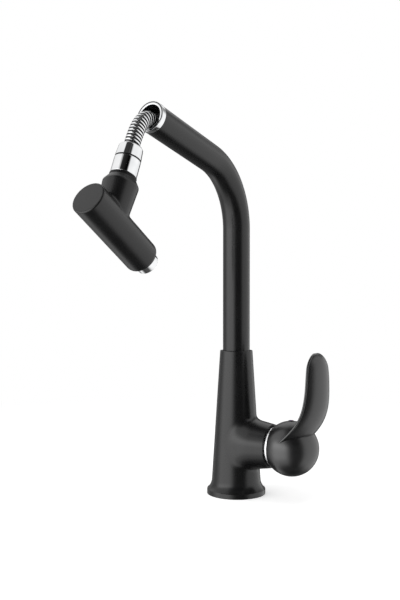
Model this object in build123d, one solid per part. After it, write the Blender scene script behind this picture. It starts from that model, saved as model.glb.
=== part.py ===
# Single-lever kitchen mixer with a pull-out spray on a ribbed hose.
# Millimetres. Origin: centre of the foot's underside. +Z up, spout towards -Y, lever towards +X.
import os
from math import cos, radians, sin, sqrt, tan

from build123d import *

os.makedirs("parts", exist_ok=True)

# Pedestal body
foot_r = 30.5
foot_rim_h = 5.3
foot_rim_round = 0.4
cove_ledge = 0.5
cove_top_z = 15.0
cone_foot_r = 25.5
cone_top_r = 16.9
body_h = 149.6
body_top_round = 0.5

# Underside of the foot
shank_r = 16.5
shank_depth = 14.0
port_r = 3.5
port_depth = 12.0
port_count = 3
port_edge_gap = 0.3
seal_inner_r = 22.0
seal_outer_r = 27.0
seal_h = 2.5

# Spout
tube_r = 14.0
tube_wall = 1.0
bend_start_z = 275.7
bend_r = 70.3
arm_rise = 13.9
arm_length = 96.8
mouth_band = 5.0
mouth_r = 14.35
mouth_bore_r = 12.0
mouth_sleeve = 10.0
mouth_lip_round = 0.6

# Spout bearing inside the body
socket_depth = 53.6
thrust_h = 2.0
spigot_h = 42.0
spigot_sleeve = 16.0
spigot_flange_h = 8.0
spigot_wall = 2.5
bearing_h = 6.0
bearing_depth = 1.4
bearing_offsets = (6.0, 32.0)
lock_offset = 22.0
lock_groove_depth = 1.6
lock_groove_h = 5.6
lock_screw_r = 2.5
lock_tip_gap = 0.5
lock_sunk = 0.4

# Hose
hose_r = 7.2
hose_bore_r = 5.0
hose_bend_r = 26.0
hose_drop = 66.35
hose_bend_inside = 9.9
rib_pitch = 3.1
rib_depth = 0.85
rib_slope = 0.4
rib_crest = 1.65
bush_depth = 16.0
bush_length = 18.0
column_hose_end_z = 40.0
column_hose_tail = 2.0
hose_sleeve_h = 14.0
hose_sleeve_r = 7.9

# Hose end and swivel
ferrule_h = 12.9
ferrule_top_r = 8.2
ferrule_shoulder_r = 10.8
ferrule_shoulder_h = 2.0
nut_r = 11.7
nut_h = 15.4
nut_round = 0.5
spacer_h = 1.2
spacer_inset = 0.3
spindle_r = 6.0
spindle_h = 9.6
water_bore_r = 4.0
nut_collar_h = 6.4
nut_chamber_r = 9.0
clip_h = 1.3
clip_r = 8.5
washer_h = 2.0

# Spray head
collar_r = 12.1
collar_h = 2.6
shoulder_r = 16.0
shoulder_h = 6.0
neck_root_r = 13.2
neck_to_axis = 60.0
neck_round = 3.0
head_r = 15.4
head_length = 88.3
head_turn = 80.85
head_cap_side = 33.6
head_bore_r = 12.6
cap_end_round = 1.5
outlet_end_round = 5.0
cap_r = 13.7
cap_h = 3.0
cap_skirt_h = 5.0
cap_skirt_wall = 1.5
outlet_wall = 8.0
aerator_r = 10.5
aerator_proud = 8.0
aerator_wall = 1.2
aerator_skirt = 12.0
aerator_lip = 1.2
insert_h = 4.0
jet_r = 0.8
jet_counts = (6, 12)
jet_circles = (3.0, 5.9)
seal_washer_h = 1.5
valve_h = 12.0
valve_stem_r = 1.3
valve_hole_r = 1.0
valve_hole_circle_r = 2.6
valve_hole_count = 4

# Lever branch and cartridge
branch_z = 53.3
branch_r = 21.9
branch_end_x = 43.6
branch_fillet = 8.0
seat_x = 13.5
cartridge_r = 17.5
nut_thread_r = 19.0
base_h = 5.0
seal_proud = 0.5
water_seal_r = 4.2
water_seal_h = 1.6
water_port_r = 2.9
water_ports = ((-6.8, -5.2), (6.8, -5.2), (0.0, 8.6))
disc_h = 4.0
fixed_disc_r = 14.5
moving_disc_r = 12.4
disc_travel = 3.4
chamber_r = 7.4
chamber_h = 1.0
housing_wall = 2.5
housing_top_h = 3.0
rotor_plate_h = 2.9
rotor_neck_r = 9.4
rotor_neck_h = 7.5
pivot_x = 33.5
stem_w = 8.0
stem_tip_r = 2.2
stem_neck_r = 1.3
stem_tip_x = 25.5
stem_end_x = 70.0
stem_block_back = 3.0
slot_half = 6.4
pin_r = 1.5
pin_half = 9.0
cartridge_nut_h = 5.5
cartridge_nut_bore_r = 10.5
trim_r = 20.2
trim_shadow = 1.1
trim_band = 2.2
trim_wall = 1.4

# Lever hub and paddle
hub_gap = 3.45
ball_r = 27.8
ball_x = 64.5
hub_wall = 3.6
hub_clear = 0.42
boss_r = 9.0
boss_start_x = 50.0
hub_solid_x = 72.0
screw_x = 64.0
set_screw_r = 2.0
set_screw_h = 10.0
plug_r = 2.8
plug_h = 3.0
plug_proud = 0.7
paddle_spine = ((54.8, 56.4), (90.4, 87.0), (90.8, 89.8), (90.1, 150.8))
paddle_half_w = (24.9, 27.5, 18.5)
paddle_crown = (8.6, 14.2, 8.6)
paddle_hollow_share = 0.45
paddle_edge_t = 2.4
paddle_tip_share = 0.9
paddle_tip_angle = 80.0
paddle_sections = 7
paddle_tip_sections = 6

# Fits and clearances
snug = 0.02
running = 0.05
slide_gap = 0.1
socket_gap = 0.35
hose_gap = 0.35
free_gap = 0.3
passage_gap = 1.0

# Cutting
cut_over = 1.0
same_size = 0.001
hex_sides = 6
hex_share = 0.6


# Turned and drilled pieces
def turned(*corners):
    points = [(radius, 0, height) for radius, height in corners]
    return revolve(make_face(Polyline(*points, close=True)), Axis.Z)


def ring(outer, inner, low, high):
    return turned((inner, low), (outer, low), (outer, high), (inner, high))


def rod(radius, low, high):
    return Pos(0, 0, low) * Cylinder(radius, high - low, align=(Align.CENTER, Align.CENTER, Align.MIN))


def rounded(solid, radius, height, size):
    # Round the circular edges of one radius at one height
    picked = [
        edge
        for edge in solid.edges().filter_by(GeomType.CIRCLE)
        if abs(edge.radius - radius) < same_size and abs(edge.center().Z - height) < same_size
    ]
    return fillet(picked, size)


def cone_r(height):
    share = (height - cove_top_z) / (body_h - cove_top_z)
    return cone_foot_r + (cone_top_r - cone_foot_r) * share


# Frames of the spout, the hose end and the branch
across = Vector(1, 0, 0)
arm_dir = Vector(0, -cos(radians(arm_rise)), sin(radians(arm_rise)))
bend_turn = 90 - arm_rise
bend_tangent = bend_r * tan(radians(bend_turn / 2))
bend_corner = Vector(0, 0, bend_start_z + bend_tangent)
arm_start = bend_corner + arm_dir * bend_tangent
mouth_centre = arm_start + arm_dir * (arm_length + mouth_band)
mouth_frame = Plane(origin=mouth_centre, x_dir=across, z_dir=arm_dir)

hose_turn = arm_rise + hose_drop
hose_tangent = hose_bend_r * tan(radians(hose_turn / 2))
hose_end_run = 2 * hose_r
hose_dir = Vector(0, -cos(radians(hose_drop)), -sin(radians(hose_drop)))
hose_corner = mouth_centre + arm_dir * (hose_tangent - hose_bend_inside)
hose_end = hose_corner + hose_dir * (hose_tangent + hose_end_run)
swivel_centre = hose_end + hose_dir * (ferrule_h + spacer_h / 2)
swivel_frame = Plane(origin=swivel_centre, x_dir=across, z_dir=hose_dir)

head_angle = radians(hose_drop + head_turn)
head_dir = Vector(0, -cos(head_angle), -sin(head_angle))
head_cross = swivel_centre + hose_dir * neck_to_axis
head_frame = Plane(origin=head_cross - head_dir * head_cap_side, x_dir=across, z_dir=head_dir)

branch_frame = Plane(origin=(0, 0, branch_z), x_dir=(0, 1, 0), z_dir=(1, 0, 0))

# Sizes that several pieces share
socket_r = tube_r + socket_gap
socket_floor_z = body_h - socket_depth
passage_r = hose_r + passage_gap
tube_bore_r = tube_r - tube_wall
spigot_z = socket_floor_z + thrust_h
tube_foot_z = spigot_z + spigot_h
lock_z = spigot_z + lock_offset
lock_groove_r = tube_r - lock_groove_depth
cartridge_bore_r = cartridge_r + slide_gap
base_x = seat_x + seal_proud
fixed_disc_x = base_x + base_h
moving_disc_x = fixed_disc_x + disc_h
rotor_x = moving_disc_x + disc_h + running
housing_top_x = rotor_x + rotor_plate_h + running
nut_x = housing_top_x + housing_top_h
trim_x = nut_x + cartridge_nut_h
rim_x = branch_end_x + hub_gap
trim_end_x = branch_end_x + trim_shadow + trim_band


def body_casting():
    cone_foot = (cone_foot_r, 0, cove_top_z)
    cone_top = (cone_top_r, 0, body_h)
    rim_low = (foot_r, 0, 0)
    rim_high = (foot_r, 0, foot_rim_h)
    cove_foot = (foot_r - cove_ledge, 0, foot_rim_h)
    down_cone = Vector(*cone_foot) - Vector(*cone_top)
    outline = [
        Line((0, 0, 0), rim_low),
        Line(rim_low, rim_high),
        Line(rim_high, cove_foot),
        TangentArc(cone_foot, cove_foot, tangent=down_cone),
        Line(cone_foot, cone_top),
        Line(cone_top, (0, 0, body_h)),
        Line((0, 0, body_h), (0, 0, 0)),
    ]
    pedestal = revolve(make_face(outline), Axis.Z)
    pedestal = rounded(pedestal, foot_r, foot_rim_h, foot_rim_round)
    pedestal = rounded(pedestal, cone_top_r, body_h, body_top_round)
    branch = branch_frame.location * rod(branch_r, 0, branch_end_x)
    casting = pedestal + branch
    seam = [
        edge
        for edge in casting.edges()
        if edge.geom_type not in (GeomType.CIRCLE, GeomType.LINE)
    ]
    casting = fillet(seam, branch_fillet)

    casting -= rod(socket_r, socket_floor_z, body_h)
    casting -= rod(passage_r, 0, socket_floor_z)
    casting -= rod(shank_r, 0, shank_depth)
    casting -= ring(seal_outer_r, seal_inner_r, 0, seal_h)
    port_circle_r = shank_r - port_r - port_edge_gap
    for place in PolarLocations(port_circle_r, port_count, start_angle=180 / port_count):
        casting -= place * rod(port_r, shank_depth, shank_depth + port_depth)
    casting -= branch_frame.location * rod(cartridge_bore_r, seat_x, branch_end_x)
    casting -= branch_frame.location * rod(nut_thread_r, nut_x - slide_gap, branch_end_x)
    casting -= lock_frame().location * rod(lock_screw_r + snug, lock_groove_r, foot_r)
    return casting


def lock_frame():
    # The lock screw points out of the back of the body
    return Plane(origin=(0, 0, lock_z), x_dir=across, z_dir=(0, 1, 0))


def spout_lock_screw():
    tip = lock_groove_r + lock_tip_gap
    screw = rod(lock_screw_r, tip, cone_r(lock_z) - lock_sunk)
    socket = Pos(0, 0, cone_r(lock_z) - lock_sunk - lock_screw_r) * extrude(
        RegularPolygon(lock_screw_r * hex_share, hex_sides), lock_screw_r
    )
    return lock_frame().location * (screw - socket)


def foot_seal():
    return ring(seal_outer_r - snug, seal_inner_r + snug, 0, seal_h)


# Spout pieces
def spout_path(start_z, tail):
    return FilletPolyline((0, 0, start_z), bend_corner, arm_start + arm_dir * tail, radius=bend_r)


def spout_tube():
    section = Pos(0, 0, tube_foot_z) * (Circle(tube_r) - Circle(tube_bore_r))
    return sweep(section, path=spout_path(tube_foot_z, arm_length))


def spout_spigot():
    top_z = tube_foot_z + spigot_sleeve
    sleeve_r = tube_bore_r - snug
    spigot = rod(tube_r, spigot_z, tube_foot_z) + rod(sleeve_r, tube_foot_z, top_z)
    spigot -= rod(hose_r + hose_gap, spigot_z, top_z)
    spigot -= rod(sleeve_r - spigot_wall, spigot_z + spigot_flange_h, top_z)
    for offset in bearing_offsets:
        low = spigot_z + offset
        spigot -= ring(tube_r + cut_over, tube_r - bearing_depth, low, low + bearing_h)
    groove_low = lock_z - lock_groove_h / 2
    spigot -= ring(tube_r + cut_over, lock_groove_r, groove_low, groove_low + lock_groove_h)
    return spigot


def bearing_ring(offset):
    low = spigot_z + offset
    return ring(socket_r - running, tube_r - bearing_depth + snug, low, low + bearing_h)


def thrust_washer():
    return ring(socket_r - running, passage_r, socket_floor_z, spigot_z)


def mouth_ring():
    back = -mouth_band
    collar = turned(
        (mouth_bore_r, back - mouth_sleeve),
        (tube_bore_r - snug, back - mouth_sleeve),
        (tube_bore_r - snug, back),
        (mouth_r, back),
        (mouth_r, 0),
        (mouth_bore_r, 0),
    )
    collar = rounded(collar, mouth_r, 0, mouth_lip_round)
    collar = rounded(collar, mouth_bore_r, 0, mouth_lip_round)
    return mouth_frame.location * collar


def hose_guide_bush():
    front = -bush_depth
    back = front - bush_length
    outer = tube_bore_r - snug
    inner = hose_r + hose_gap
    lead = (outer - inner) / 2
    bush = turned(
        (inner, back),
        (outer, back),
        (outer, front),
        (inner + lead, front),
        (inner, front - lead),
    )
    return mouth_frame.location * bush


# Hose
def spray_hose():
    tail_start = arm_start + arm_dir * (column_hose_tail + free_gap)
    path = FilletPolyline(tail_start, hose_corner, hose_end, radius=hose_bend_r)
    length = path.length
    rib_count = int(length / rib_pitch)
    step = length / rib_count
    valley = hose_r - rib_depth
    rib = (
        (0, valley),
        (rib_slope, hose_r),
        (rib_slope + rib_crest, hose_r),
        (2 * rib_slope + rib_crest, valley),
    )

    def section(distance, radius):
        share = distance / length
        frame = Plane(origin=path @ share, x_dir=across, z_dir=path % share)
        return frame * Circle(radius)

    circles = [section(index * step + start, radius) for index in range(rib_count) for start, radius in rib]
    circles.append(section(length, valley))
    bore = sweep(section(0, hose_bore_r), path=path)
    hose = loft(circles, ruled=True) - bore
    print("hose length", round(length, 2), "ribs", rib_count, "volume", round(hose.volume, 1))
    return hose


def hose_column_run():
    section = Pos(0, 0, column_hose_end_z) * (Circle(hose_r) - Circle(hose_bore_r))
    return sweep(section, path=spout_path(column_hose_end_z, column_hose_tail))


def hose_end_sleeve():
    return ring(hose_sleeve_r, hose_bore_r, column_hose_end_z - hose_sleeve_h, column_hose_end_z)


# Swivel between the hose and the spray head, in the swivel's frame
def hose_ferrule():
    low = -spacer_h / 2
    top = low - ferrule_h
    ferrule = turned(
        (water_bore_r, top),
        (ferrule_top_r, top),
        (ferrule_shoulder_r, top + ferrule_shoulder_h),
        (nut_r, low),
        (spindle_r, low),
        (spindle_r, spindle_h),
        (water_bore_r, spindle_h),
    )
    ferrule = rounded(ferrule, ferrule_shoulder_r, top + ferrule_shoulder_h, ferrule_shoulder_h)
    return swivel_frame.location * ferrule


def spacer_ring():
    return swivel_frame.location * ring(nut_r - spacer_inset, spindle_r + snug, -spacer_h / 2, spacer_h / 2)


def swivel_nut():
    low = spacer_h / 2
    high = low + nut_h
    nut = turned(
        (spindle_r + running, low),
        (nut_r, low),
        (nut_r, high),
        (nut_chamber_r, high),
        (nut_chamber_r, low + nut_collar_h),
        (spindle_r + running, low + nut_collar_h),
    )
    nut = rounded(nut, nut_r, low, nut_round)
    return swivel_frame.location * rounded(nut, nut_r, high, nut_round)


def swivel_clip():
    low = spacer_h / 2 + nut_collar_h + free_gap
    return swivel_frame.location * ring(clip_r, spindle_r + snug, low, low + clip_h)


def hose_washer():
    low = spindle_h + free_gap
    return swivel_frame.location * ring(nut_chamber_r - slide_gap, water_bore_r, low, low + washer_h)


# Spray head
neck_low = spacer_h / 2 + nut_h
neck_spigot_low = spindle_h + free_gap + washer_h
neck_spigot_r = nut_chamber_r - snug
neck_bore_r = spindle_r


def neck_collar():
    collar = ring(collar_r, neck_spigot_r + snug, neck_low, neck_low + collar_h)
    return swivel_frame.location * rounded(collar, collar_r, neck_low, nut_round)


def spray_shell():
    barrel = rod(head_r, 0, head_length)
    barrel = rounded(barrel, head_r, 0, cap_end_round)
    barrel = rounded(barrel, head_r, head_length, outlet_end_round)
    barrel = head_frame.location * barrel

    shoulder_low = neck_low + collar_h
    shoulder_high = shoulder_low + shoulder_h
    neck = turned(
        (0, shoulder_low),
        (collar_r, shoulder_low),
        (shoulder_r, shoulder_high),
        (neck_root_r, neck_to_axis),
        (0, neck_to_axis),
    )
    neck = rounded(neck, shoulder_r, shoulder_high, shoulder_h / 2)
    shell = barrel + swivel_frame.location * neck
    seam = [
        edge
        for edge in shell.edges()
        if edge.geom_type not in (GeomType.CIRCLE, GeomType.LINE)
    ]
    shell = fillet(seam, neck_round)

    shell += swivel_frame.location * rod(neck_spigot_r, neck_spigot_low, shoulder_low)
    shell -= swivel_frame.location * rod(neck_bore_r, neck_spigot_low, neck_to_axis)
    inside = rod(cap_r + slide_gap, 0, cap_h)
    inside += rod(head_bore_r, cap_h, head_length - outlet_wall)
    inside += rod(aerator_r + snug, head_length - outlet_wall, head_length)
    return shell - head_frame.location * inside


def spray_end_cap():
    skirt_r = head_bore_r - slide_gap
    cap = rod(cap_r, 0, cap_h)
    cap += ring(skirt_r, skirt_r - cap_skirt_wall, cap_h, cap_h + cap_skirt_h)
    return head_frame.location * cap


def check_valve():
    low = neck_spigot_low + washer_h
    body = ring(neck_bore_r - snug, water_bore_r, low, low + valve_h)
    bridge = rod(water_bore_r, low + valve_h / 2, low + valve_h / 2 + washer_h)
    for place in PolarLocations(valve_hole_circle_r, valve_hole_count):
        bridge -= place * rod(valve_hole_r, low, low + valve_h)
    stem = rod(valve_stem_r, low + valve_h / 2, low + valve_h)
    return swivel_frame.location * (body + bridge + stem)


aerator_end = head_length + aerator_proud
aerator_low = aerator_end - aerator_skirt


def aerator_housing():
    bore_r = aerator_r - aerator_wall
    sleeve = ring(aerator_r, bore_r, aerator_low, aerator_end)
    sleeve += ring(bore_r, bore_r - aerator_lip, aerator_end - aerator_lip, aerator_end)
    return head_frame.location * rounded(sleeve, aerator_r, aerator_end, nut_round)


def aerator_insert():
    outer = aerator_r - aerator_wall - snug
    high = aerator_end - aerator_lip
    insert = rod(outer, high - insert_h, high)
    insert -= rod(jet_r, high - insert_h, high)
    for count, circle_r in zip(jet_counts, jet_circles):
        for place in PolarLocations(circle_r, count):
            insert -= place * rod(jet_r, high - insert_h, high)
    return head_frame.location * insert


def aerator_seal():
    outer = aerator_r - aerator_wall - snug
    high = aerator_end - aerator_lip - insert_h
    return head_frame.location * ring(outer, outer - 2 * aerator_lip, high - seal_washer_h, high)


# Cartridge, in the branch's frame: local X is Y, local Y is Z, local Z is X
def at_ports(solid):
    return [Pos(across_y, up_z, 0) * solid for across_y, up_z in water_ports]


def cartridge_base():
    base = rod(cartridge_r, base_x, base_x + base_h)
    for hole in at_ports(rod(water_port_r, base_x, base_x + base_h)):
        base -= hole
    for recess in at_ports(rod(water_seal_r + snug, base_x, seat_x + water_seal_h)):
        base -= recess
    return branch_frame.location * base


def cartridge_seals():
    seal = ring(water_seal_r, water_port_r, seat_x, seat_x + water_seal_h)
    return branch_frame.location * (Part() + at_ports(seal))


def fixed_ceramic_disc():
    disc = rod(fixed_disc_r, fixed_disc_x, fixed_disc_x + disc_h)
    for hole in at_ports(rod(water_port_r, fixed_disc_x, fixed_disc_x + disc_h)):
        disc -= hole
    return branch_frame.location * disc


def cartridge_housing():
    bore_r = cartridge_r - housing_wall
    housing = turned(
        (bore_r, fixed_disc_x),
        (cartridge_r, fixed_disc_x),
        (cartridge_r, nut_x),
        (rotor_neck_r + running, nut_x),
        (rotor_neck_r + running, housing_top_x),
        (bore_r, housing_top_x),
    )
    return branch_frame.location * housing


def moving_ceramic_disc():
    closed = Pos(0, -disc_travel / 2, 0)
    disc = closed * rod(moving_disc_r, moving_disc_x, moving_disc_x + disc_h)
    chamber = closed * rod(chamber_r, moving_disc_x, moving_disc_x + chamber_h)
    slot_half_h = stem_tip_r + slide_gap
    slot_low = stem_tip_x - stem_tip_r - slide_gap
    slot_high = moving_disc_x + disc_h
    slot_mid = (slot_low + slot_high) / 2
    slot = Pos(0, 0, slot_mid) * Box(2 * slot_half_h, 2 * slot_half_h, slot_high - slot_low)
    return branch_frame.location * (disc - chamber - slot)


def cartridge_rotor():
    plate = rod(cartridge_r - housing_wall - running, rotor_x, rotor_x + rotor_plate_h)
    neck_high = housing_top_x + rotor_neck_h
    rotor = plate + rod(rotor_neck_r, rotor_x, neck_high)
    slot_mid = (rotor_x + neck_high) / 2
    rotor -= Pos(0, 0, slot_mid) * Box(stem_w + 2 * slide_gap, 2 * slot_half, neck_high - rotor_x)
    rotor -= Pos(0, 0, pivot_x) * Rot(0, 90, 0) * Cylinder(pin_r, 2 * rotor_neck_r)
    return branch_frame.location * rotor


def stem_pin():
    return branch_frame.location * (Pos(0, 0, pivot_x) * Rot(0, 90, 0) * Cylinder(pin_r, 2 * pin_half))


def cartridge_stem():
    block_low = pivot_x - stem_block_back
    block_mid = (block_low + stem_end_x) / 2
    stem = Pos(0, 0, block_mid) * Box(stem_w, stem_w, stem_end_x - block_low)
    stem += rod(stem_neck_r, stem_tip_x, block_low)
    stem += Pos(0, 0, stem_tip_x) * Sphere(stem_tip_r)
    stem -= Pos(0, 0, pivot_x) * Rot(0, 90, 0) * Cylinder(pin_r + running, 2 * stem_w)
    return branch_frame.location * stem


def cartridge_nut():
    nut = ring(nut_thread_r - running, cartridge_nut_bore_r, nut_x, trim_x)
    return branch_frame.location * nut


def trim_ring():
    inner = nut_thread_r - running - trim_wall
    shadow_end = branch_end_x + trim_shadow
    trim = turned(
        (inner, trim_x),
        (nut_thread_r - running, trim_x),
        (nut_thread_r - running, shadow_end),
        (trim_r, shadow_end),
        (trim_r, trim_end_x),
        (inner, trim_end_x),
    )
    return branch_frame.location * rounded(trim, trim_r, trim_end_x, free_gap)


# Lever
def along(controls, share):
    # A point on the smooth curve that its control values draw
    while len(controls) > 1:
        controls = [low + (high - low) * share for low, high in zip(controls, controls[1:])]
    return controls[0]


def paddle_section(share, shrink):
    spine = [Vector(x, 0, z) for x, z in paddle_spine]
    rises = [high - low for low, high in zip(spine, spine[1:])]
    half_w = along(paddle_half_w, share) * shrink
    crown = along(paddle_crown, share) * shrink
    outer_mid = paddle_edge_t + crown
    inner_mid = paddle_hollow_share * crown
    edge_mid = paddle_edge_t / 2
    edge_w = half_w + edge_mid
    outline = make_face(
        [
            ThreePointArc((half_w, paddle_edge_t), (0, outer_mid), (-half_w, paddle_edge_t)),
            ThreePointArc((-half_w, paddle_edge_t), (-edge_w, edge_mid), (-half_w, 0)),
            ThreePointArc((-half_w, 0), (0, inner_mid), (half_w, 0)),
            ThreePointArc((half_w, 0), (edge_w, edge_mid), (half_w, paddle_edge_t)),
        ]
    )
    return Plane(origin=along(spine, share), x_dir=(0, -1, 0), z_dir=along(rises, share)) * outline


def paddle():
    sections = []
    for index in range(paddle_sections):
        sections.append(paddle_section(paddle_tip_share * index / paddle_sections, 1))
    # The tip is drawn in like a dome
    for index in range(paddle_tip_sections + 1):
        angle = radians(paddle_tip_angle * index / paddle_tip_sections)
        share = paddle_tip_share + (1 - paddle_tip_share) * sin(angle)
        sections.append(paddle_section(share, cos(angle)))
    return loft(sections)


def hub():
    # In the branch's frame, so that the balls' poles lie on its axis
    reach = 4 * ball_r
    block = Box(reach, reach, reach)
    ball = Pos(0, 0, ball_x) * Sphere(ball_r)
    ball -= Pos(0, 0, rim_x - reach / 2) * block
    hollow = Pos(0, 0, ball_x) * Sphere(ball_r - hub_wall)
    hollow -= Pos(0, 0, hub_solid_x + reach / 2) * block
    swing_r = sqrt((trim_end_x - pivot_x) ** 2 + trim_r**2) + hub_clear
    hollow += Pos(0, 0, pivot_x) * Sphere(swing_r)
    hollow -= rod(boss_r, boss_start_x, hub_solid_x)
    return branch_frame.location * ball, branch_frame.location * hollow


def lever():
    ball, hollow = hub()
    handle = ball + paddle() - hollow
    socket_mid = (boss_start_x + stem_end_x) / 2
    socket_w = stem_w + 2 * snug
    socket = Box(socket_w, socket_w, stem_end_x - boss_start_x)
    handle -= branch_frame.location * (Pos(0, 0, socket_mid) * socket)
    handle -= Pos(screw_x, 0, 0) * rod(set_screw_r + snug, branch_z, plug_seat_z)
    handle -= Pos(screw_x, 0, 0) * rod(plug_r + snug, plug_seat_z, branch_z + 2 * ball_r)
    return handle


dome_z = branch_z + sqrt(ball_r**2 - (screw_x - ball_x) ** 2)
plug_seat_z = dome_z - plug_h


def index_plug():
    top_z = dome_z + plug_proud
    plug = rod(plug_r, plug_seat_z, top_z)
    return Pos(screw_x, 0, 0) * rounded(plug, plug_r, top_z, plug_proud)


def lever_set_screw():
    low = branch_z + stem_w / 2
    screw = rod(set_screw_r, low, low + set_screw_h)
    socket = Pos(0, 0, low + set_screw_h - set_screw_r) * extrude(
        RegularPolygon(set_screw_r * hex_share, hex_sides), set_screw_r
    )
    return Pos(screw_x, 0, 0) * (screw - socket)


nodes = {
    "body_casting": body_casting(),
    "foot_seal": foot_seal(),
    "thrust_washer": thrust_washer(),
    "spout_lock_screw": spout_lock_screw(),
    "spout_tube": spout_tube(),
    "spout_spigot": spout_spigot(),
    "lower_bearing_ring": bearing_ring(bearing_offsets[0]),
    "upper_bearing_ring": bearing_ring(bearing_offsets[1]),
    "mouth_ring": mouth_ring(),
    "hose_guide_bush": hose_guide_bush(),
    "hose_column_run": hose_column_run(),
    "hose_end_sleeve": hose_end_sleeve(),
    "spray_hose": spray_hose(),
    "hose_ferrule": hose_ferrule(),
    "spacer_ring": spacer_ring(),
    "swivel_clip": swivel_clip(),
    "swivel_nut": swivel_nut(),
    "hose_washer": hose_washer(),
    "neck_collar": neck_collar(),
    "spray_shell": spray_shell(),
    "spray_end_cap": spray_end_cap(),
    "check_valve": check_valve(),
    "aerator_housing": aerator_housing(),
    "aerator_insert": aerator_insert(),
    "aerator_seal": aerator_seal(),
    "cartridge_base": cartridge_base(),
    "cartridge_seals": cartridge_seals(),
    "fixed_ceramic_disc": fixed_ceramic_disc(),
    "cartridge_housing": cartridge_housing(),
    "moving_ceramic_disc": moving_ceramic_disc(),
    "cartridge_rotor": cartridge_rotor(),
    "stem_pin": stem_pin(),
    "cartridge_stem": cartridge_stem(),
    "cartridge_nut": cartridge_nut(),
    "trim_ring": trim_ring(),
    "lever": lever(),
    "index_plug": index_plug(),
    "lever_set_screw": lever_set_screw(),
}
for name, solid in nodes.items():
    export_step(solid, f"parts/{name}.step")
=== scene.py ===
import math

import bpy
from mathutils import Matrix, Vector


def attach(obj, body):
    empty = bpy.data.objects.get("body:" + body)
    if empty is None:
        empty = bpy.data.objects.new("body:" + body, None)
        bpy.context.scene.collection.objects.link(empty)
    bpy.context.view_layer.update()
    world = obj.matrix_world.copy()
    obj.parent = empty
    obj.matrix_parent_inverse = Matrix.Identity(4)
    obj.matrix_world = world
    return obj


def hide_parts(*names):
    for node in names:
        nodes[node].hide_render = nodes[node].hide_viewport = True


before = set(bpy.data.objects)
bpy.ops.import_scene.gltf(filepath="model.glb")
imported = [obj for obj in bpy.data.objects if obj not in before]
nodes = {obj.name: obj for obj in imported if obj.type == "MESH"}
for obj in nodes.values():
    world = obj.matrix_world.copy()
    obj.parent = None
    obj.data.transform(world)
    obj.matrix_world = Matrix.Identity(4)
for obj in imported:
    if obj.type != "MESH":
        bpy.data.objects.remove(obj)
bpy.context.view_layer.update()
scene = bpy.context.scene
print("frame loaded:", len(nodes), "nodes")


# where the photograph was taken from
viewSettings = {
    "place": (0.4446, -0.7550, 0.2199),
    "turnZ": 32.98,
    "lookDown": 1.16,
    "lens": 50.24,
    "sensorWidth": 36,
}


def setCamera():
    data = bpy.data.cameras.new("photoCamera")
    data.sensor_width = viewSettings["sensorWidth"]
    data.lens = viewSettings["lens"]
    camera = bpy.data.objects.new("photoCamera", data)
    camera.location = viewSettings["place"]
    camera.rotation_euler = (
        math.radians(90 - viewSettings["lookDown"]),
        0,
        math.radians(viewSettings["turnZ"]),
    )
    scene.collection.objects.link(camera)
    scene.camera = camera


setCamera()
scene.view_settings.view_transform = "Standard"
print("camera set")


# small helpers for node trees
noiseLow, noiseHigh = 0.3, 0.7  # most of a noise lies between these


def startMaterial(name):
    material = bpy.data.materials.new(name)
    material.use_nodes = True
    tree = material.node_tree
    shader = tree.nodes["Principled BSDF"]
    return material, tree, shader


def addNode(tree, kind, **inputs):
    node = tree.nodes.new(kind)
    for socket, value in inputs.items():
        node.inputs[socket.replace("_", " ")].default_value = value
    return node


def objectNoise(tree, scale, detail=2.0, roughness=0.5):
    place = tree.nodes.new("ShaderNodeTexCoord")
    noise = addNode(tree, "ShaderNodeTexNoise", Scale=scale, Detail=detail, Roughness=roughness)
    tree.links.new(place.outputs["Object"], noise.inputs["Vector"])
    return noise


def ramp(tree, source, low, high, lowAt=noiseLow, highAt=noiseHigh):
    node = tree.nodes.new("ShaderNodeMapRange")
    node.inputs["From Min"].default_value = lowAt
    node.inputs["From Max"].default_value = highAt
    node.inputs["To Min"].default_value = low
    node.inputs["To Max"].default_value = high
    tree.links.new(source, node.inputs["Value"])
    return node.outputs["Result"]


def tint(tree, source, dark, light):
    node = tree.nodes.new("ShaderNodeValToRGB")
    node.color_ramp.elements[0].position = noiseLow
    node.color_ramp.elements[0].color = (*dark, 1)
    node.color_ramp.elements[1].position = noiseHigh
    node.color_ramp.elements[1].color = (*light, 1)
    tree.links.new(source, node.inputs["Fac"])
    return node.outputs["Color"]


def mixColour(tree, share, first, second):
    # sockets 6 and 7 are the node's colours
    node = tree.nodes.new("ShaderNodeMix")
    node.data_type = "RGBA"
    for index, value in ((6, first), (7, second)):
        if isinstance(value, tuple):
            node.inputs[index].default_value = (*value, 1)
        else:
            tree.links.new(value, node.inputs[index])
    tree.links.new(share, node.inputs[0])
    return node.outputs[2]


def calc(tree, operation, first, second=None):
    node = tree.nodes.new("ShaderNodeMath")
    node.operation = operation
    for index, value in enumerate((first, second)):
        if value is None:
            continue
        if isinstance(value, (int, float)):
            node.inputs[index].default_value = value
        else:
            tree.links.new(value, node.inputs[index])
    return node.outputs[0]


def softStep(tree, value, low, high):
    node = tree.nodes.new("ShaderNodeMapRange")
    node.interpolation_type = "SMOOTHSTEP"
    node.inputs["From Min"].default_value = low
    node.inputs["From Max"].default_value = high
    tree.links.new(value, node.inputs["Value"])
    return node.outputs["Result"]


def softBand(tree, value, low, high, soft):
    rise = softStep(tree, value, low - soft, low + soft)
    fall = softStep(tree, value, high + soft, high - soft)
    return calc(tree, "MULTIPLY", rise, fall)


def blend(tree, share, first, second):
    # first where the share is 0, second where it is 1, in the node's number sockets 2 and 3
    node = tree.nodes.new("ShaderNodeMix")
    for index, value in ((2, first), (3, second)):
        if isinstance(value, (int, float)):
            node.inputs[index].default_value = value
        else:
            tree.links.new(value, node.inputs[index])
    tree.links.new(share, node.inputs[0])
    return node.outputs[0]


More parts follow.
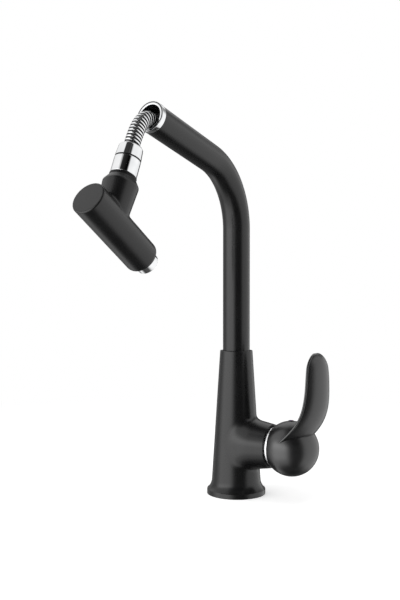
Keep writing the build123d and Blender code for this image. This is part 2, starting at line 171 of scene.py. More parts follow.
def grain(tree, shader, scale, depth, strength):
    noise = objectNoise(tree, scale, detail=3.0, roughness=0.6)
    bump = addNode(tree, "ShaderNodeBump", Strength=strength, Distance=depth)
    tree.links.new(noise.outputs["Fac"], bump.inputs["Height"])
    tree.links.new(bump.outputs["Normal"], shader.inputs["Normal"])


# colour, gloss and grain of each finish, sizes per metre of the piece
finishes = {
    "matteBlackCoat": {
        "dark": (0.0048, 0.0048, 0.0050), "light": (0.0068, 0.0068, 0.0071),
        "patch": 45.0, "roughLow": 0.25, "roughHigh": 0.29,
        "grainScale": 2400.0, "grainDepth": 0.00004, "grainStrength": 0.22, "metallic": 0.0,
    },
    "leverCoat": {
        "dark": (0.0055, 0.0055, 0.0057), "light": (0.0078, 0.0078, 0.0081),
        "patch": 45.0, "roughLow": 0.28, "roughHigh": 0.33, "specular": 0.95,
        "grainScale": 2400.0, "grainDepth": 0.00004, "grainStrength": 0.22, "metallic": 0.0,
    },
    "mouldedBlack": {
        "dark": (0.0052, 0.0052, 0.0054), "light": (0.0074, 0.0074, 0.0077),
        "patch": 60.0, "roughLow": 0.29, "roughHigh": 0.33,
        "grainScale": 3200.0, "grainDepth": 0.00003, "grainStrength": 0.20, "metallic": 0.0,
    },
    "brightChrome": {
        "dark": (0.80, 0.81, 0.82), "light": (0.88, 0.885, 0.89),
        "patch": 120.0, "roughLow": 0.03, "roughHigh": 0.055,
        "grainScale": 900.0, "grainDepth": 0.000004, "grainStrength": 0.04, "metallic": 1.0,
    },
    "satinChrome": {
        "dark": (0.86, 0.865, 0.87), "light": (0.92, 0.92, 0.925),
        "patch": 160.0, "roughLow": 0.24, "roughHigh": 0.32,
        "grainScale": 1400.0, "grainDepth": 0.000006, "grainStrength": 0.08, "metallic": 1.0,
    },
    "dullBlack": {
        "dark": (0.0040, 0.0040, 0.0042), "light": (0.0058, 0.0058, 0.0060),
        "patch": 60.0, "roughLow": 0.38, "roughHigh": 0.46, "specular": 0.2,
        "grainScale": 3200.0, "grainDepth": 0.00003, "grainStrength": 0.20, "metallic": 0.0,
    },
    "sealRubber": {
        "dark": (0.010, 0.010, 0.010), "light": (0.018, 0.018, 0.018),
        "patch": 200.0, "roughLow": 0.65, "roughHigh": 0.80,
        "grainScale": 1800.0, "grainDepth": 0.00005, "grainStrength": 0.25, "metallic": 0.0,
    },
    "bearingPlastic": {
        "dark": (0.66, 0.65, 0.60), "light": (0.72, 0.71, 0.66),
        "patch": 90.0, "roughLow": 0.38, "roughHigh": 0.50,
        "grainScale": 2500.0, "grainDepth": 0.00002, "grainStrength": 0.12, "metallic": 0.0,
    },
    "turnedBrass": {
        "dark": (0.58, 0.40, 0.15), "light": (0.70, 0.50, 0.21),
        "patch": 110.0, "roughLow": 0.22, "roughHigh": 0.34,
        "grainScale": 1600.0, "grainDepth": 0.00001, "grainStrength": 0.12, "metallic": 1.0,
    },
    "plainSteel": {
        "dark": (0.46, 0.46, 0.47), "light": (0.58, 0.58, 0.59),
        "patch": 140.0, "roughLow": 0.26, "roughHigh": 0.40,
        "grainScale": 2000.0, "grainDepth": 0.00001, "grainStrength": 0.12, "metallic": 1.0,
    },
    "groundCeramic": {
        "dark": (0.80, 0.79, 0.74), "light": (0.85, 0.84, 0.80),
        "patch": 80.0, "roughLow": 0.16, "roughHigh": 0.24,
        "grainScale": 3000.0, "grainDepth": 0.00001, "grainStrength": 0.05, "metallic": 0.0,
    },
    "cartridgePlastic": {
        "dark": (0.52, 0.54, 0.57), "light": (0.60, 0.62, 0.65),
        "patch": 90.0, "roughLow": 0.42, "roughHigh": 0.52,
        "grainScale": 2600.0, "grainDepth": 0.00002, "grainStrength": 0.15, "metallic": 0.0,
    },
    "hoseLiner": {
        "dark": (0.012, 0.012, 0.013), "light": (0.022, 0.022, 0.024),
        "patch": 150.0, "roughLow": 0.55, "roughHigh": 0.70,
        "grainScale": 1500.0, "grainDepth": 0.00005, "grainStrength": 0.30, "metallic": 0.0,
    },
}


def makeFinish(name, values):
    material, tree, shader = startMaterial(name)
    shader.inputs["Metallic"].default_value = values["metallic"]
    shader.inputs["Specular IOR Level"].default_value = values.get("specular", 0.5)
    patches = objectNoise(tree, values["patch"])
    colour = tint(tree, patches.outputs["Fac"], values["dark"], values["light"])
    tree.links.new(colour, shader.inputs["Base Color"])
    rough = ramp(tree, patches.outputs["Fac"], values["roughLow"], values["roughHigh"])
    tree.links.new(rough, shader.inputs["Roughness"])
    grain(tree, shader, values["grainScale"], values["grainDepth"], values["grainStrength"])
    return material


grooveShade = {"colour": (0.008, 0.008, 0.009), "rough": 0.45}  # painted shade in the grooves and bore of chrome, dark and dull


def shadedGrooveChrome(name, shadeAt):
    # bright chrome, with painted shade where the piece's own groove attribute says so
    values = finishes["brightChrome"]
    material, tree, shader = startMaterial(name)
    link = tree.links.new
    groove = tree.nodes.new("ShaderNodeAttribute")
    groove.attribute_name = "groove"
    deep = softStep(tree, groove.outputs["Fac"], *shadeAt)
    patches = objectNoise(tree, values["patch"])
    bright = tint(tree, patches.outputs["Fac"], values["dark"], values["light"])
    # painted shade: the groove mask mixes the dark dull colour over the chrome
    link(mixColour(tree, deep, bright, grooveShade["colour"]), shader.inputs["Base Color"])
    rough = ramp(tree, patches.outputs["Fac"], values["roughLow"], values["roughHigh"])
    link(blend(tree, deep, rough, grooveShade["rough"]), shader.inputs["Roughness"])
    link(blend(tree, deep, values["metallic"], 0.0), shader.inputs["Metallic"])
    return material


finish = {name: makeFinish(name, values) for name, values in finishes.items()}

indexDot = {
    "plug": (0.006, 0.006, 0.0062),
    "hot": (0.42, 0.015, 0.018),
    "cold": (0.015, 0.05, 0.36),
    "centreX": 0.064,
    "dotRadius": 0.0017,
    "edge": 0.00012,
    "patch": 900.0,
    "roughLow": 0.22,
    "roughHigh": 0.32,
}


def makeIndexDot():
    # a black plug with a dot on its top, hot on one half and cold on the other
    material, tree, shader = startMaterial("indexDot")
    place = tree.nodes.new("ShaderNodeTexCoord")
    split = tree.nodes.new("ShaderNodeSeparateXYZ")
    tree.links.new(place.outputs["Object"], split.inputs["Vector"])
    side = ramp(tree, split.outputs["Y"], 0.0, 1.0, -indexDot["edge"], indexDot["edge"])
    fromCentre = calc(tree, "SUBTRACT", split.outputs["X"], indexDot["centreX"])
    squares = [calc(tree, "POWER", value, 2.0) for value in (fromCentre, split.outputs["Y"])]
    reach = calc(tree, "SQRT", calc(tree, "ADD", *squares))
    radius, edge = indexDot["dotRadius"], indexDot["edge"]
    outside = ramp(tree, reach, 0.0, 1.0, radius - edge, radius + edge)
    colour = mixColour(tree, side, indexDot["cold"], indexDot["hot"])
    tree.links.new(mixColour(tree, outside, colour, indexDot["plug"]), shader.inputs["Base Color"])
    patches = objectNoise(tree, indexDot["patch"])
    rough = ramp(tree, patches.outputs["Fac"], indexDot["roughLow"], indexDot["roughHigh"])
    tree.links.new(rough, shader.inputs["Roughness"])
    return material


finish["indexDot"] = makeIndexDot()
print("finishes made:", len(finish))

nodeFinish = {
    "matteBlackCoat": ["body_casting", "spout_tube"],
    "leverCoat": ["lever"],
    "mouldedBlack": ["spray_shell", "spray_end_cap", "hose_guide_bush"],
    "dullBlack": ["neck_collar", "spacer_ring"],
    "brightChrome": ["mouth_ring", "spray_hose", "hose_ferrule", "swivel_nut", "aerator_housing"],
    "satinChrome": ["trim_ring"],
    "sealRubber": ["foot_seal", "hose_washer", "aerator_seal", "cartridge_seals"],
    "bearingPlastic": [
        "thrust_washer", "lower_bearing_ring", "upper_bearing_ring", "check_valve", "aerator_insert",
    ],
    "turnedBrass": ["spout_spigot", "hose_end_sleeve", "cartridge_stem", "cartridge_nut"],
    "plainSteel": ["spout_lock_screw", "swivel_clip", "stem_pin", "lever_set_screw"],
    "groundCeramic": ["fixed_ceramic_disc", "moving_ceramic_disc"],
    "cartridgePlastic": ["cartridge_base", "cartridge_housing", "cartridge_rotor"],
    "hoseLiner": ["hose_column_run"],
    "indexDot": ["index_plug"],
}
for name, members in nodeFinish.items():
    for member in members:
        mesh = nodes[member].data
        mesh.materials.clear()
        mesh.materials.append(finish[name])
print("nodes dressed:", sum(len(members) for members in nodeFinish.values()))


# the route of the solid hose, in metres, lower than it from the lip to the bend as in the photograph
hose = {
    "tailStart": (0.0, -0.055665, 0.344504),
    "tailPoint": (0.0, -0.133580, 0.364295),
    "lipPoint": (0.0, -0.140580, 0.364000),  # from here it sags in the mouth
    "corner": (0.0, -0.166800, 0.366000),
    "end": (0.0, -0.178460, 0.338019),
    "radius": 0.0072,
    "ribPitch": 0.0031,
    "ribDepth": 0.00085,
    "ribGap": 0.58,  # share of the pitch
    "ribDome": 2.0,
    "sides": 40,
    "ringsPerRib": 12,
    "routeSteps": 64,
    "shadeAt": (0.02, 0.12),  # how deep in the groove the painted shade starts and is full
}


def addObject(name, mesh):
    piece = bpy.data.objects.new(name, mesh)
    scene.collection.objects.link(piece)
    return piece


def plainMesh(holder):
    # what the object evaluates to, as a plain mesh; the object itself is removed
    bpy.context.view_layer.update()
    graph = bpy.context.evaluated_depsgraph_get()
    mesh = bpy.data.meshes.new_from_object(holder.evaluated_get(graph))
    bpy.data.objects.remove(holder)
    return mesh


def readRoute(name, points):
    # the smooth line of the route, read back as plain points
    data = bpy.data.curves.new(name, "CURVE")
    data.dimensions = "3D"
    data.resolution_u = hose["routeSteps"]
    line = data.splines.new("NURBS")
    line.points.add(len(points) - 1)
    for point, place in zip(line.points, points):
        point.co = (*place, 1)
    line.order_u = 3
    line.use_endpoint_u = True
    mesh = plainMesh(addObject(name, data))
    path = [vertex.co.copy() for vertex in mesh.vertices]
    return path, mesh


def pathLength(path):
    return sum((b - a).length for a, b in zip(path, path[1:]))


def startTree(name):
    tree = bpy.data.node_groups.new(name, "GeometryNodeTree")
    for way in ("INPUT", "OUTPUT"):
        tree.interface.new_socket(name="Geometry", in_out=way, socket_type="NodeSocketGeometry")
    return tree


def treeSocket(tree, name, kind):
    return tree.interface.new_socket(name=name, in_out="INPUT", socket_type=kind).identifier


def endTree(tree, given, made):
    # what was made, as real geometry in the given finish
    add, link = tree.nodes.new, tree.links.new
    real = add("GeometryNodeRealizeInstances")
    link(made, real.inputs["Geometry"])
    dress = add("GeometryNodeSetMaterial")
    link(real.outputs["Geometry"], dress.inputs["Geometry"])
    link(given["Finish"], dress.inputs["Material"])
    link(dress.outputs["Geometry"], add("NodeGroupOutput").inputs["Geometry"])


def ribTree():
    tree = startTree("hoseRibs")
    ids = {
        "radius": treeSocket(tree, "Radius", "NodeSocketFloat"),
        "pitch": treeSocket(tree, "Rib pitch", "NodeSocketFloat"),
        "depth": treeSocket(tree, "Rib depth", "NodeSocketFloat"),
        "gap": treeSocket(tree, "Gap share", "NodeSocketFloat"),
        "dome": treeSocket(tree, "Crest dome", "NodeSocketFloat"),
        "sides": treeSocket(tree, "Sides", "NodeSocketInt"),
        "step": treeSocket(tree, "Ring step", "NodeSocketFloat"),
        "material": treeSocket(tree, "Finish", "NodeSocketMaterial"),
    }
    add, link = tree.nodes.new, tree.links.new
    given = add("NodeGroupInput").outputs

    toCurve = add("GeometryNodeMeshToCurve")
    link(given["Geometry"], toCurve.inputs["Mesh"])
    resample = add("GeometryNodeResampleCurve")
    resample.mode = "LENGTH"
    link(toCurve.outputs["Curve"], resample.inputs["Curve"])
    link(given["Ring step"], resample.inputs["Length"])
    along = add("GeometryNodeSplineParameter")
    keepAlong = add("GeometryNodeCaptureAttribute")
    keepAlong.capture_items.new("FLOAT", "Along")
    link(resample.outputs["Curve"], keepAlong.inputs["Geometry"])
    link(along.outputs["Length"], keepAlong.inputs["Along"])

    circle = add("GeometryNodeCurvePrimitiveCircle")
    link(given["Sides"], circle.inputs["Resolution"])
    link(given["Radius"], circle.inputs["Radius"])
    around = add("GeometryNodeSplineParameter")
    keepAround = add("GeometryNodeCaptureAttribute")
    keepAround.capture_items.new("FLOAT", "Around")
    link(circle.outputs["Curve"], keepAround.inputs["Geometry"])
    link(around.outputs["Factor"], keepAround.inputs["Around"])

    tube = add("GeometryNodeCurveToMesh")
    tube.inputs["Fill Caps"].default_value = True
    link(keepAlong.outputs["Geometry"], tube.inputs["Curve"])
    link(keepAround.outputs["Geometry"], tube.inputs["Profile Curve"])

    # one rib climbs a full pitch in each turn, as the wound strip of a metal hose does
    turns = calc(tree, "DIVIDE", keepAlong.outputs["Along"], given["Rib pitch"])
    phase = calc(tree, "FRACT", calc(tree, "ADD", turns, keepAround.outputs["Around"]))
    fromMiddle = calc(tree, "ABSOLUTE", calc(tree, "SUBTRACT", phase, 0.5))
    gapHalf = calc(tree, "MULTIPLY", given["Gap share"], 0.5)
    crestHalf = calc(tree, "SUBTRACT", 0.5, gapHalf)
    into = calc(tree, "DIVIDE", calc(tree, "SUBTRACT", fromMiddle, crestHalf), gapHalf)
    into = calc(tree, "MAXIMUM", calc(tree, "MINIMUM", into, 1.0), 0.0)
    # eased at both ends, as 3 x^2 - 2 x^3
    ease = calc(tree, "SUBTRACT", 3.0, calc(tree, "MULTIPLY", into, 2.0))
    smooth = calc(tree, "MULTIPLY", calc(tree, "MULTIPLY", into, into), ease)
    # a slightly domed crest
    offSquare = calc(tree, "MULTIPLY", fromMiddle, fromMiddle)
    dome = calc(tree, "MULTIPLY", offSquare, given["Crest dome"])
    sink = calc(tree, "MULTIPLY", calc(tree, "ADD", smooth, dome), given["Rib depth"])
    normal = add("GeometryNodeInputNormal")
    shift = add("ShaderNodeVectorMath")
    shift.operation = "SCALE"
    link(normal.outputs["Normal"], shift.inputs[0])
    link(calc(tree, "MULTIPLY", sink, -1.0), shift.inputs["Scale"])
    move = add("GeometryNodeSetPosition")
    link(tube.outputs["Mesh"], move.inputs["Geometry"])
    link(shift.outputs["Vector"], move.inputs["Offset"])
    smoothShade = add("GeometryNodeSetShadeSmooth")
    link(move.outputs["Geometry"], smoothShade.inputs["Geometry"])
    # the depth into the groove, which the hose's chrome turns into painted shade
    keepGroove = add("GeometryNodeStoreNamedAttribute")
    keepGroove.inputs["Name"].default_value = "groove"
    link(smoothShade.outputs["Geometry"], keepGroove.inputs["Geometry"])
    link(smooth, keepGroove.inputs["Value"])
    endTree(tree, given, keepGroove.outputs["Geometry"])
    return tree, ids


def bakeNodes(name, mesh, tree, values):
    # run the tree once and keep its result as a plain mesh
    holder = addObject(name + "Source", mesh)
    modifier = holder.modifiers.new("nodes", "NODES")
    modifier.node_group = tree
    for identifier, value in values.items():
        modifier[identifier] = value
    made = plainMesh(holder)
    made.name = name
    return addObject(name, made)


def makeHose():
    route = [hose[point] for point in ("tailStart", "tailPoint", "lipPoint", "corner", "end")]
    path, line = readRoute("hoseRoute", route)
    tree, ids = ribTree()
    values = {
        ids["radius"]: hose["radius"],
        ids["pitch"]: hose["ribPitch"],
        ids["depth"]: hose["ribDepth"],
        ids["gap"]: hose["ribGap"],
        ids["dome"]: hose["ribDome"],
        ids["sides"]: hose["sides"],
        ids["step"]: hose["ribPitch"] / hose["ringsPerRib"],
        ids["material"]: shadedGrooveChrome("hoseChrome", hose["shadeAt"]),
    }
    piece = bakeNodes("ribbedHose", line, tree, values)
    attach(piece, "hose")
    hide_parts("spray_hose")
    print("hose made, length", round(pathLength(path), 4), "faces", len(piece.data.polygons))


makeHose()


# soft nozzles around the jet holes of the spray face, easily rubbed free of scale
nozzles = {
    "faceCentre": (0.0, -0.156248, 0.237377),
    "faceTurn": -122.8,  # degrees about X, from straight up to the way the water leaves
    "rings": [(1, 0.0), (6, 0.0030), (12, 0.0059)],
    "baseRadius": 0.00118,
    "tipRadius": 0.00092,
    "holeRadius": 0.00056,
    "throat": 1.3,  # the hole behind the face, against the hole at the tip
    "lipShare": 0.3,  # rounding of the tip, as a share of its wall
    "stand": 0.0009,
    "root": 0.0008,
    "sunk": 0.00003,
    "footHeight": 0.00012,
    "sides": 14,
}


sharpAngle = 40  # degrees between faces, from where an edge stays sharp


def ringMesh(name, sections):
    # closed sections, all of the same count of points, joined into a ring
    size, count = len(sections[0]), len(sections)
    points = [tuple(point) for section in sections for point in section]
    faces = []
    for side in range(count):
        here, there = side * size, (side + 1) % count * size
        for step in range(size):
            ahead = (step + 1) % size
            faces.append((here + step, there + step, there + ahead, here + ahead))
    mesh = bpy.data.meshes.new(name)
    mesh.from_pydata(points, [], faces)
    mesh.shade_smooth()
    mesh.set_sharp_from_angle(angle=math.radians(sharpAngle))
    return mesh


def turnedRing(name, profile, count):
    # a closed profile of (radius, height) turned about Z
    angles = [2 * math.pi * side / count for side in range(count)]
    sections = [
        [(radius * math.cos(angle), radius * math.sin(angle), height) for radius, height in profile]
        for angle in angles
    ]
    return ringMesh(name, sections)


def nozzleMesh():
    base, tip, hole = nozzles["baseRadius"], nozzles["tipRadius"], nozzles["holeRadius"]
    stand, root, sunk = nozzles["stand"], nozzles["root"], nozzles["sunk"]
    throat = hole * nozzles["throat"]
    lip = (tip - hole) * nozzles["lipShare"]
    profile = [
        (hole, -root), (throat, -root), (throat, -sunk), (base, -sunk),
        (base - lip, nozzles["footHeight"]), (tip, stand - lip), (tip - lip, stand),
        (hole + lip, stand), (hole, stand - lip),
    ]
    return turnedRing("sprayNozzle", profile, nozzles["sides"])


def nozzleTree():
    tree = startTree("sprayFace")
    ids = {}
    for index in range(len(nozzles["rings"])):
        ids["count", index] = treeSocket(tree, f"Nozzles in ring {index}", "NodeSocketInt")
        ids["radius", index] = treeSocket(tree, f"Radius of ring {index}", "NodeSocketFloat")
    ids["place"] = treeSocket(tree, "Face centre", "NodeSocketVector")
    ids["turn"] = treeSocket(tree, "Face turn", "NodeSocketVector")
    ids["material"] = treeSocket(tree, "Finish", "NodeSocketMaterial")
    add, link = tree.nodes.new, tree.links.new
    given = add("NodeGroupInput").outputs
    join = add("GeometryNodeJoinGeometry")
    for index in range(len(nozzles["rings"])):
        ring = add("GeometryNodePoints")  # the points of one ring, set round it by their number
        count = given[f"Nozzles in ring {index}"]
        link(count, ring.inputs["Count"])
        number = add("GeometryNodeInputIndex").outputs["Index"]
        share = calc(tree, "DIVIDE", number, count)
        angle = calc(tree, "MULTIPLY", share, 2 * math.pi)
        spot = add("ShaderNodeCombineXYZ")
        for axis, wave in (("X", "COSINE"), ("Y", "SINE")):
            reach = calc(tree, "MULTIPLY", calc(tree, wave, angle), given[f"Radius of ring {index}"])
            link(reach, spot.inputs[axis])
        link(spot.outputs["Vector"], ring.inputs["Position"])
        link(ring.outputs["Points"], join.inputs["Geometry"])
    stand = add("GeometryNodeInstanceOnPoints")
    link(join.outputs["Geometry"], stand.inputs["Points"])
    link(given["Geometry"], stand.inputs["Instance"])
    move = add("GeometryNodeTransform")
    link(stand.outputs["Instances"], move.inputs["Geometry"])
    link(given["Face centre"], move.inputs["Translation"])
    link(given["Face turn"], move.inputs["Rotation"])
    endTree(tree, given, move.outputs["Geometry"])
    return tree, ids


def makeNozzles():
    tree, ids = nozzleTree()
    values = {
        ids["place"]: nozzles["faceCentre"],
        ids["turn"]: (math.radians(nozzles["faceTurn"]), 0.0, 0.0),
        ids["material"]: finish["sealRubber"],
    }
    for index, (count, radius) in enumerate(nozzles["rings"]):
        values[ids["count", index]] = count
        values[ids["radius", index]] = radius
    piece = bakeNodes("sprayNozzles", nozzleMesh(), tree, values)
    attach(piece, "spray_head")
    print("spray nozzles made:", len(piece.data.polygons), "faces")


makeNozzles()


# the chrome end of the arm: a band, a groove round its face, a lip and a bore, with painted shade in the
# groove and the bore
mouth = {
    "centre": (0.0, -0.152231, 0.368397),
    "turn": 76.1,  # degrees about X, from straight up to the way the arm points
    "bore": 0.0112,
    "bandRadius": 0.01428,
    "bandRound": 0.0003,
    "bandLength": 0.0050,
    "grooveInner": 0.0129,
    "grooveOuter": 0.0139,
    "grooveDepth": 0.0012,
    "lipRound": 0.0004,
    "darkFrom": 1.2,  # lip roundings behind the face, where the painted shade in the bore is full
    "sleeveRadius": 0.01298,
    "sleeveLength": 0.0100,
    "sides": 96,
    "shadeAt": (0.2, 0.8),  # where the chrome goes over into painted shade at the edges of the groove and the bore
}


def quarterRound(centre, radius, start, steps=5):
    angles = [math.radians(start + 90 * step / steps) for step in range(steps + 1)]
    across, up = centre
    return [(across + radius * math.cos(angle), up + radius * math.sin(angle)) for angle in angles]


def makeMouthRing():
    bore, band = mouth["bore"], mouth["bandRadius"]
    lipRound, bandRound = mouth["lipRound"], mouth["bandRound"]
    back = -mouth["bandLength"] - mouth["sleeveLength"]
    outline = [
        (bore, back), (mouth["sleeveRadius"], back),
        (mouth["sleeveRadius"], -mouth["bandLength"]), (band, -mouth["bandLength"]),
    ]
    outline += quarterRound((band - bandRound, -bandRound), bandRound, 0)
    # painted shade: the back, the groove's floor and the bore are marked dark
    shade = [1.0, 1.0] + [0.0] * (len(outline) - 2)
    outline += [
        (mouth["grooveOuter"], 0.0), (mouth["grooveOuter"], -mouth["grooveDepth"]),
        (mouth["grooveInner"], -mouth["grooveDepth"]), (mouth["grooveInner"], 0.0),
    ]
    shade += [0.0, 1.0, 1.0, 0.0]
    lip = quarterRound((bore + lipRound, -lipRound), lipRound, 90)
    outline += lip + [(bore, -lipRound * mouth["darkFrom"])]
    shade += [0.0] * len(lip) + [1.0]
    mesh = turnedRing("mouthRing", outline, mouth["sides"])
    groove = mesh.attributes.new("groove", "FLOAT", "POINT")
    groove.data.foreach_set("value", shade * mouth["sides"])
    turn = Matrix.Rotation(math.radians(mouth["turn"]), 4, "X")
    mesh.transform(Matrix.Translation(mouth["centre"]) @ turn)
    mesh.materials.append(shadedGrooveChrome("mouthChrome", mouth["shadeAt"]))
    piece = addObject("mouthRing", mesh)
    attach(piece, "spout")
    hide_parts("mouth_ring")
    print("mouth ring made:", len(mesh.polygons), "faces")


makeMouthRing()


# the skin of the lever branch: wider than the solid one, tapered to the hub, run out softly into the cone
branchSkin = {
    "axisHeight": 0.0533,
    "radius": 0.0249,
    "endRadius": 0.02235,  # clear of the hub, which swings past it when the lever tilts
    "inner": 0.0215,
    "end": 0.0434,
    "endRound": 0.0004,
    "coneFoot": (0.0255, 0.0150),  # radius and height
    "coneTop": (0.0169, 0.1496),
    "blendFrom": 0.0275,  # where the drum starts to run out, from the column's axis
    "blendRise": 0.0060,
    "sideTurn": 90,  # degrees round the cone that the run-out reaches at each side
    "handle": 0.40,  # pull of the run-out's curve, as a share of its length
    "lift": 0.00003,  # off the cone where the run-out meets it
    "landing": 0.0012,  # from there on along the cone
    "sunk": 0.00006,
    "root": 0.0020,  # hidden depth behind the edge
    "around": 180,
    "across": 24,
}


def coneRadius(height):
    (footRadius, footHeight), (topRadius, topHeight) = branchSkin["coneFoot"], branchSkin["coneTop"]
    return footRadius + (topRadius - footRadius) * (height - footHeight) / (topHeight - footHeight)


def onCone(turn, height, lift):
    radius = coneRadius(height) + lift
    return Vector((radius * math.cos(turn), radius * math.sin(turn), height))


def skinSection(angle):
    # one closed section through the axis of the branch, from its end to the cone and back inside
    radius, height, end = branchSkin["radius"], branchSkin["axisHeight"], branchSkin["end"]
    out = Vector((0, math.cos(angle), math.sin(angle)))

    def spot(x, reach):
        return Vector((x, 0, height)) + out * reach

    rounding, endRadius = branchSkin["endRound"], branchSkin["endRadius"]
    corner = quarterRound((end - rounding, endRadius - rounding), rounding, 0)
    rim = [spot(x, reach) for x, reach in corner]
    first = spot(branchSkin["blendFrom"], radius)
    turn = math.radians(branchSkin["sideTurn"]) * out.y
    meetHeight = height + (radius + branchSkin["blendRise"]) * out.z
    last = onCone(turn, meetHeight, branchSkin["lift"])
    taper = coneRadius(1.0) - coneRadius(0.0)  # per metre of height
    facing = Vector((math.cos(turn), math.sin(turn), -taper)).normalized()
    onward = last - first
    onward = (onward - facing * onward.dot(facing)).normalized()
    handle = branchSkin["handle"] * (last - first).length
    lead = first + (first - rim[-1]).normalized() * handle
    tail = last - onward * handle
    run = []
    for step in range(branchSkin["across"] + 1):
        share = step / branchSkin["across"]
        rest = 1 - share
        near = first * rest ** 3 + lead * 3 * rest * rest * share
        run.append(near + tail * 3 * rest * share * share + last * share ** 3)
    # the edge runs on along the cone and dips just under its skin
    edge = last + onward * branchSkin["landing"]
    fit = (coneRadius(edge.z) - branchSkin["sunk"]) / math.hypot(edge.x, edge.y)
    edge = Vector((edge.x * fit, edge.y * fit, edge.z))
    deep = edge - facing * branchSkin["root"]
    inside = spot(last.x - branchSkin["root"], branchSkin["inner"])
    return [inside, deep, edge, *reversed(run), *reversed(rim), spot(end, branchSkin["inner"])]


def makeBranchSkin():
    count = branchSkin["around"]
    sections = [skinSection(2 * math.pi * index / count) for index in range(count)]
    mesh = ringMesh("branchSkin", sections)
    mesh.materials.append(finish["matteBlackCoat"])
    piece = addObject("branchSkin", mesh)
    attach(piece, "mixer_body")
    print("branch skin made:", len(mesh.polygons), "faces")


makeBranchSkin()


# soft studio: white all round, with brighter and unlit fields that only the gloss shows
studio = {
    "floorReach": 3.0,
    "floorColour": (0.90, 0.90, 0.90),
    "floorRough": 0.9,
    "floorGlow": 0.47,
    "floorFade": (0.20, 0.75),  # from the lit floor to plain white, metres from the foot
    "ambient": 0.45,
    "fields": [  # degrees from -Y towards +X, degrees up, softness of the edge, light in the field
        {"turn": (-58, 7), "lift": (-36, 24), "soft": 9, "light": 1.95},  # large softbox on the left
        {"turn": (-66, 3), "lift": (4, 24), "soft": 8, "light": 1.5},
        {"turn": (88, 150), "lift": (-40, 20), "soft": 9, "light": 1.1},  # card on the right
        {"turn": (17, 78), "lift": (-72, 48), "soft": 8, "light": 0.06},  # dark behind the camera
        {"turn": (-4, 74), "lift": (22, 54), "soft": 5, "light": 0.04},
        {"turn": (-20, 78), "lift": (50, 110), "soft": 6, "light": 0.04},
        {"turn": (-130, -74), "lift": (-36, 20), "soft": 8, "light": 0.40},
        {"turn": (-200, -128), "lift": (-75, 25), "soft": 9, "light": 0.12},
        {"turn": (158, 200), "lift": (-75, -40), "soft": 9, "light": 0.22},
        {"turn": (150, 200), "lift": (22, 80), "soft": 9, "light": 0.30},
        {"turn": (-200, 200), "lift": (68, 120), "soft": 7, "light": 0.05},
        {"turn": (-200, 200), "lift": (-120, -58), "soft": 12, "light": 0.08},
    ],
    "key": {"place": (-0.58, -1.22, 0.64), "aim": (0, -0.05, 0.2), "size": (1.3, 1.4), "power": 13.0},
    "fill": {"place": (1.16, 0.54, 0.43), "aim": (0, 0, 0.2), "size": (0.7, 1.2), "power": 4.0},
    "top": {"place": (0.0, -0.1, 1.5), "aim": (0, 0, 0.2), "size": (1.2, 1.2), "power": 5.0},
}


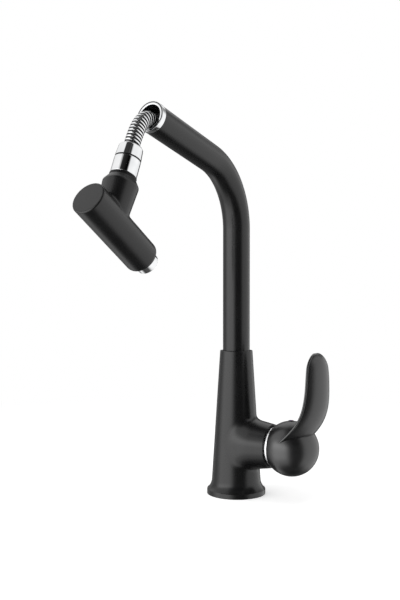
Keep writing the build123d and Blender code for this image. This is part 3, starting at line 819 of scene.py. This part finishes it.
def makeFloor():
    reach = studio["floorReach"]
    corners = [(-reach, -reach, 0), (reach, -reach, 0), (reach, reach, 0), (-reach, reach, 0)]
    mesh = bpy.data.meshes.new("floor")
    mesh.from_pydata(corners, [], [(0, 1, 2, 3)])
    floor = addObject("floor", mesh)
    material, tree, shader = startMaterial("paleFloor")
    link = tree.links.new
    shader.inputs["Base Color"].default_value = (*studio["floorColour"], 1)
    shader.inputs["Roughness"].default_value = studio["floorRough"]
    shader.inputs["Specular IOR Level"].default_value = 0.0
    rays = tree.nodes.new("ShaderNodeLightPath")
    glow = addNode(tree, "ShaderNodeEmission", Strength=studio["floorGlow"])
    white = addNode(tree, "ShaderNodeEmission", Strength=1.0)
    lit = tree.nodes.new("ShaderNodeAddShader")
    link(shader.outputs["BSDF"], lit.inputs[0])
    link(glow.outputs["Emission"], lit.inputs[1])
    # the lit floor with its shadow goes over into plain white
    place = tree.nodes.new("ShaderNodeTexCoord")
    away = tree.nodes.new("ShaderNodeVectorMath")
    away.operation = "LENGTH"
    link(place.outputs["Object"], away.inputs[0])
    fade = tree.nodes.new("ShaderNodeMixShader")
    link(softStep(tree, away.outputs["Value"], *studio["floorFade"]), fade.inputs["Fac"])
    link(lit.outputs["Shader"], fade.inputs[1])
    link(white.outputs["Emission"], fade.inputs[2])
    seen = tree.nodes.new("ShaderNodeMixShader")
    link(rays.outputs["Is Camera Ray"], seen.inputs["Fac"])
    link(shader.outputs["BSDF"], seen.inputs[1])
    link(fade.outputs["Shader"], seen.inputs[2])
    link(seen.outputs["Shader"], tree.nodes["Material Output"].inputs["Surface"])
    mesh.materials.append(material)
    floor.visible_glossy = False  # the gloss shows the studio, not the floor


def makeWorld():
    world = bpy.data.worlds.new("studioWorld")
    world.use_nodes = True
    tree = world.node_tree
    background = tree.nodes["Background"]
    background.inputs["Color"].default_value = (1, 1, 1, 1)
    rays = tree.nodes.new("ShaderNodeLightPath")
    place = tree.nodes.new("ShaderNodeTexCoord")
    split = tree.nodes.new("ShaderNodeSeparateXYZ")
    tree.links.new(place.outputs["Generated"], split.inputs["Vector"])
    front = calc(tree, "MULTIPLY", split.outputs["Y"], -1.0)
    turn = calc(tree, "DEGREES", calc(tree, "ARCTAN2", split.outputs["X"], front))
    lift = calc(tree, "DEGREES", calc(tree, "ARCSINE", split.outputs["Z"]))
    gloss = 1.0
    for field in studio["fields"]:
        across = softBand(tree, turn, *field["turn"], field["soft"])
        upright = softBand(tree, lift, *field["lift"], field["soft"])
        share = calc(tree, "MULTIPLY", across, upright)
        gloss = calc(tree, "MULTIPLY", blend(tree, share, 1.0, field["light"]), gloss)
    level = blend(tree, rays.outputs["Is Glossy Ray"], studio["ambient"], gloss)
    clear = calc(tree, "MAXIMUM", rays.outputs["Is Camera Ray"], rays.outputs["Is Transmission Ray"])
    tree.links.new(blend(tree, clear, level, 1.0), background.inputs["Strength"])
    world.cycles.sampling_method = "NONE"
    scene.world = world


def makeLamp(name):
    values = studio[name]
    data = bpy.data.lights.new(name, "AREA")
    data.shape = "RECTANGLE"
    data.size, data.size_y = values["size"]
    data.energy = values["power"]
    lamp = bpy.data.objects.new(name, data)
    lamp.visible_glossy = False  # its mirror image is one of the fields
    lamp.location = values["place"]
    toward = Vector(values["aim"]) - Vector(values["place"])
    lamp.rotation_euler = toward.to_track_quat("-Z", "Y").to_euler()
    scene.collection.objects.link(lamp)


makeFloor()
makeWorld()
for lampName in ("key", "fill", "top"):
    makeLamp(lampName)
print("studio set")
